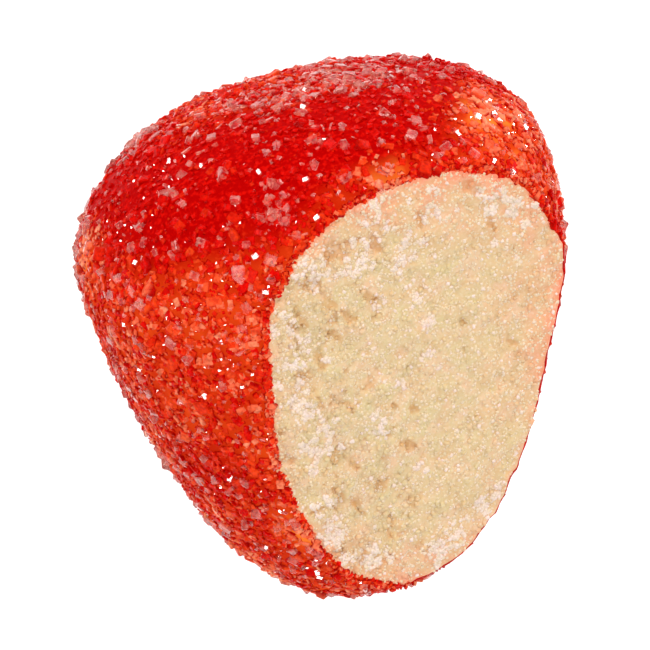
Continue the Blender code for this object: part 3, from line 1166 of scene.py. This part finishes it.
# %% Bright crystals
LAMP_PLACES = ((-0.32, 0.24, 0.40), (-0.16, -0.36, 0.42), (0.40, 0.14, 0.36))  # metres
VIEWER = (0.0, 0.0, 0.37)  # metres; the camera hangs about there
LARGEST_LEAN = math.radians(50)
BRIGHT_PLACES = (((9.5, 14.0, 18.5), 4.0), ((13.5, 10.5, 15.0), 3.5), ((-11.0, 8.0, 22.0), 3.5))
BRIGHT_KINDS = (  # name, candidates, lengths in mm, template
    ("bright_crystals", 210, (0.24, 0.52), bevelled_block),
    ("bright_grains", 1000, (0.08, 0.18), plain_block),
)
BRIGHT_SHARES = (0.5, 2.5)  # everywhere, and added at the bright places
BRIGHT_SHAPE = ((0.55, 0.95), (0.5, 0.8), 0.02, (0.1, 0.5))  # breadth, thickness, tilt, proud
BRIGHT_SEED = 150


def mirror_normals(places, normals):
    """The normal that mirrors the best placed lamp to somebody who looks down on it, and its lean."""
    towards = unit(np.array(LAMP_PLACES)[None] - places[:, None])
    halves = unit(towards + unit(np.array(VIEWER) - places)[:, None])
    fit = np.einsum("nki,ni->nk", halves, normals)
    best = fit.argmax(axis=1)
    return halves[np.arange(len(places)), best], np.arccos(fit.max(axis=1))


def bright_density(points):
    """Clear tops show most where the sugar stands high, at the crown."""
    near = near_places(points, BRIGHT_PLACES)
    return sugar_density(points) * (BRIGHT_SHARES[0] + BRIGHT_SHARES[1] * near)


for number, (name, count, lengths, template) in enumerate(BRIGHT_KINDS):
    draw = np.random.default_rng(BRIGHT_SEED + number)
    places, normals = skin_places(draw, count, bright_density)
    facing, lean = mirror_normals(places, normals)
    chosen = lean < LARGEST_LEAN
    places, facing = places[chosen], facing[chosen]
    size = draw.uniform(*lengths, len(places)) * MM
    corners = scattered(draw, places, facing, template, size, *BRIGHT_SHAPE)
    sugar_piece(name, corners, template, clear_material)

# %% [markdown]
# ## Grains on the cut
#
# The blade crushed sugar as it went and left it in the clumps worked out above. Fine grit lies all over the
# cut, and crumbs of almond stick out of the paste, most of them on the torn side. Relief could draw such
# grains, but it can't give their loose edges and their own small shadows, so they are meshes of their own.

# %% Places on the cut
TRIES_FOR_EACH = 40  # places drawn over the knife's whole grid for each grain
PASTE_FACE = (0.04 * MM, 1.0)  # depths in the paste between which the cut shows paste
GRIT_SHARE = 0.06
CRUSHED_SHARES = (0.0045, 0.55)  # everywhere, and added in the clumps
CRUMB_SHARES = (0.02, 0.05)  # everywhere, and added on the torn side


def cut_places(draw, count, density, depths):
    """Random places on the torn face, between two depths in the paste, and the knife's normal at each."""
    flat = np.zeros((TRIES_FOR_EACH * count, 3))
    flat[:, :2] = draw.uniform(cut_low, cut_high, (len(flat), 2))
    world = transformed(flat, slice_to_world)
    flat = flat[draw.random(len(flat)) < density(world)]
    deep = depth_in_paste(transformed(flat, slice_to_world))
    flat = flat[(deep > depths[0]) & (deep < depths[1])][:count]
    flat[:, 2] = crumb_height(flat)
    return transformed(flat, slice_to_world), np.tile(slice_normal, (len(flat), 1))


def grit_density(points):
    """Grit lies everywhere but in the pits."""
    return GRIT_SHARE * (1 - pit_share(points))


def crushed_density(points):
    """Crushed sugar lies in its clumps, with a little of it between them."""
    return (CRUSHED_SHARES[0] + CRUSHED_SHARES[1] * frost_share(points)) * (1 - pit_share(points))


def crumb_density(points):
    """Crumbs of almond stick out everywhere, and most on the torn side."""
    return CRUMB_SHARES[0] + CRUMB_SHARES[1] * roughness_of_cut(points)


print("room to scatter on the cut, mm:", np.round((cut_high - cut_low) / MM, 1))

# %% Scatter grit, crushed sugar and crumbs
GRAIN_BREADTH = (0.6, 1.0)
CUT_GRAINS = (  # name, most grains, lengths in mm, template, material, thickness, tilt, proud, jitter
    ("sugar_grit", 5200, (0.10, 0.20), plain_block, crushed_material, (0.5, 0.9), 1.0, (-0.35, 0.1), 0.0),
    ("crushed_sugar", 6800, (0.09, 0.26), plain_block, crushed_material, (0.5, 0.9), 1.2, (-0.2, 0.3), 0.0),
    ("almond_crumbs", 2400, (0.24, 0.60), lump, paste_material, (0.5, 0.8), 0.6, (-0.35, -0.05), 0.12),
)
GRAIN_DENSITIES = (grit_density, crushed_density, crumb_density)
GRAIN_SEED = 200
BUTTERY = ((0.65, 1.0), (0.0, 0.7))  # of the grit and of the crushed sugar
BUTTER_SEED = 205

cut_pieces = []
for number, (name, count, lengths, template, material, *shape) in enumerate(CUT_GRAINS):
    draw = np.random.default_rng(GRAIN_SEED + number)
    places, normals = cut_places(draw, count, GRAIN_DENSITIES[number], PASTE_FACE)
    size = draw.uniform(*lengths, len(places)) * MM
    corners = scattered(draw, places, normals, template, size, GRAIN_BREADTH, *shape)
    piece = new_piece(name, joined_mesh(name, corners, template[1]))
    piece.data.shade_smooth()
    dress(piece, material)
    piece.visible_shadow = material is paste_material
    cut_pieces.append(piece)
    print(name, len(places), "grains,", triangle_count(piece), "triangles")

draw = np.random.default_rng(BUTTER_SEED)
for piece, (low, high) in zip(cut_pieces, BUTTERY):
    each = len(plain_block[0])
    shares = draw.uniform(low, high, len(piece.data.vertices) // each)
    write_values(piece.data, "buttery", np.repeat(shares, each))
write_paste_values(cut_pieces[-1])

# %% [markdown]
# ## Crystals in the cut edge of the crust
#
# From above, the crust shows as a thin red line round the cut. The blade broke its crystals, so the line is
# grainy. The crust's mesh has a clean edge, and small crystals on the cut between skin and paste break it
# up. Along the rubbed rim there are none, because the blade took them with it.

# %% Rim crystals
CRUST_FACE = (-0.30 * MM, 0.02 * MM)  # depths in the paste between which the cut shows crust
RIM_CANDIDATES = 1100
RIM_SHARE = 0.6
RIM_LENGTHS = (0.16, 0.38)  # mm
RIM_SHAPE = ((0.5, 0.95), (0.5, 0.9), 0.9, (-0.35, 0.05))  # breadth, thickness, tilt, proud
RIM_SEED = 210


def rim_density(points):
    """Even all round the cut, and none along the rubbed rim."""
    return RIM_SHARE * (1 - rubbed_share(points))


draw = np.random.default_rng(RIM_SEED)
places, normals = cut_places(draw, RIM_CANDIDATES, rim_density, CRUST_FACE)
size = draw.uniform(*RIM_LENGTHS, len(places)) * MM
corners = scattered(draw, places, normals, topped_block, size, *RIM_SHAPE)
rim_crystals = sugar_piece("rim_crystals", corners, topped_block, coated_material)
shade = thinness(places) + THIN_SCATTER * draw.normal(size=len(places))
write_crystal_values(rim_crystals, topped_block, shade, draw)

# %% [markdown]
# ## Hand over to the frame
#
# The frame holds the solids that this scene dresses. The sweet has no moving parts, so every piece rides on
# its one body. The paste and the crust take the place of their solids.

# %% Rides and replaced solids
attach(almond_paste, "root")
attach(syrup_crust, "root")
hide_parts("marzipan")
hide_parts("sugar_coat")
for piece in sugar_pieces:
    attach(piece, "root")
for piece in cut_pieces:
    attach(piece, "root")
print("pieces on the root body:", 2 + len(sugar_pieces) + len(cut_pieces))

# %% [markdown]
# ## Table
#
# The ground is pure white without a shadow, as on a light table: a sheet of matt white acrylic, lit from
# below. A plain white floor would show the sweet's shadow and turn grey. So the sheet is a light grey, and
# glows just enough to come out white.

# %% Light table
TABLE_HALF_WIDTH = 2.0  # metres
TABLE_CLOUD = 40 * MM
TABLE_GREYS = ("#B4B4B4", "#B8B8B8")
TABLE_GLOW = 0.85


def lit_acrylic(tree):
    """Matt white acrylic, lit from below, as a light table is."""
    place = add_node(tree, "ShaderNodeTexCoord").outputs["Object"]
    cloud = add_node(tree, "ShaderNodeTexNoise", {"Vector": place, "Scale": 1 / TABLE_CLOUD}).outputs["Fac"]
    low, high = [linear(grey) for grey in TABLE_GREYS]
    colour = add_node(tree, "ShaderNodeMix", {0: cloud, 6: low, 7: high}, data_type="RGBA").outputs[2]
    glow = {"Emission Color": linear("#FFFFFF"), "Emission Strength": TABLE_GLOW}
    return {"Base Color": colour, "Roughness": 0.8, **glow}


bm = bmesh.new()
bmesh.ops.create_grid(bm, x_segments=1, y_segments=1, size=TABLE_HALF_WIDTH)
table = new_piece("table", built_mesh("table", bm))
dress(table, made_of("white acrylic", lit_acrylic))

# %% [markdown]
# ## Light
#
# The light is soft and comes from all round, a little more of it from the back. One large panel would do
# for the paste, but sugar needs small bright lamps to mirror. So there are three panels for the form, three
# small lamps for the glints, and a pale room that fills the shadows.

# %% Panels, lamps and room
PANEL = 0.28
BACK_PANEL = 0.26
LAMP = 0.05
LAMP_RADIANCE = 30.0
ROOM_LIGHT = 0.72
LIT_POINT = Vector((0, 0, 10 * MM))
STUDIO_LIGHTS = (  # name, place in metres, side of the square in metres, and how bright
    ("left panel", (-0.36, -0.06, 0.40), PANEL, 2.05),
    ("right panel", (0.33, -0.20, 0.42), PANEL, 1.2),
    ("back panel", (0.12, 0.40, 0.38), BACK_PANEL, 5.15),
    ("left lamp", LAMP_PLACES[0], LAMP, LAMP_RADIANCE),
    ("front lamp", LAMP_PLACES[1], LAMP, LAMP_RADIANCE),
    ("right lamp", LAMP_PLACES[2], LAMP, LAMP_RADIANCE),
)


def softbox(name, place, size, radiance):
    """A square soft light that faces the sweet, as bright as radiance times white."""
    light = bpy.data.lights.new(name, "AREA")
    light.shape = "SQUARE"
    light.size = size
    light.energy = radiance * math.pi * size * size
    lamp = new_piece(name, light)
    lamp.location = place
    lamp.rotation_euler = (LIT_POINT - Vector(place)).to_track_quat("-Z", "Y").to_euler()
    return lamp


for name, place, size, radiance in STUDIO_LIGHTS:
    lamp = softbox(name, place, size, radiance)
    print(name, round(lamp.data.energy, 3), "W")

world = bpy.data.worlds.new("studio")
world.use_nodes = True
room = world.node_tree.nodes["Background"].inputs
room["Color"].default_value = linear("#FFFFFF")
room["Strength"].default_value = ROOM_LIGHT
bpy.context.scene.world = world
bpy.context.scene.view_settings.view_transform = "Standard"

# %% [markdown]
# ## Camera
#
# The camera looks straight down. A sweet of 37 mm seen from near would swell towards the lens, so a long
# lens from further off keeps its outline as it is in plan. The frame is 43 mm wide at the height of the
# outline.

# %% Camera over the sweet
FRAME_WIDTH = 43.0 * MM
LENS = 300.0  # mm, and the sensor too
SENSOR = 36.0
NEAREST = 10 * MM
MIDDLE_HEIGHT = 14.4 * MM
AIM = (0.58 * MM, 0.10 * MM)

camera = new_piece("camera", bpy.data.cameras.new("camera"))
camera.data.sensor_width = SENSOR
camera.data.lens = LENS
camera.data.clip_start = NEAREST
camera.location = (*AIM, MIDDLE_HEIGHT + FRAME_WIDTH * LENS / SENSOR)
bpy.context.scene.camera = camera
print("camera height, mm:", round(camera.location.z / MM, 1))
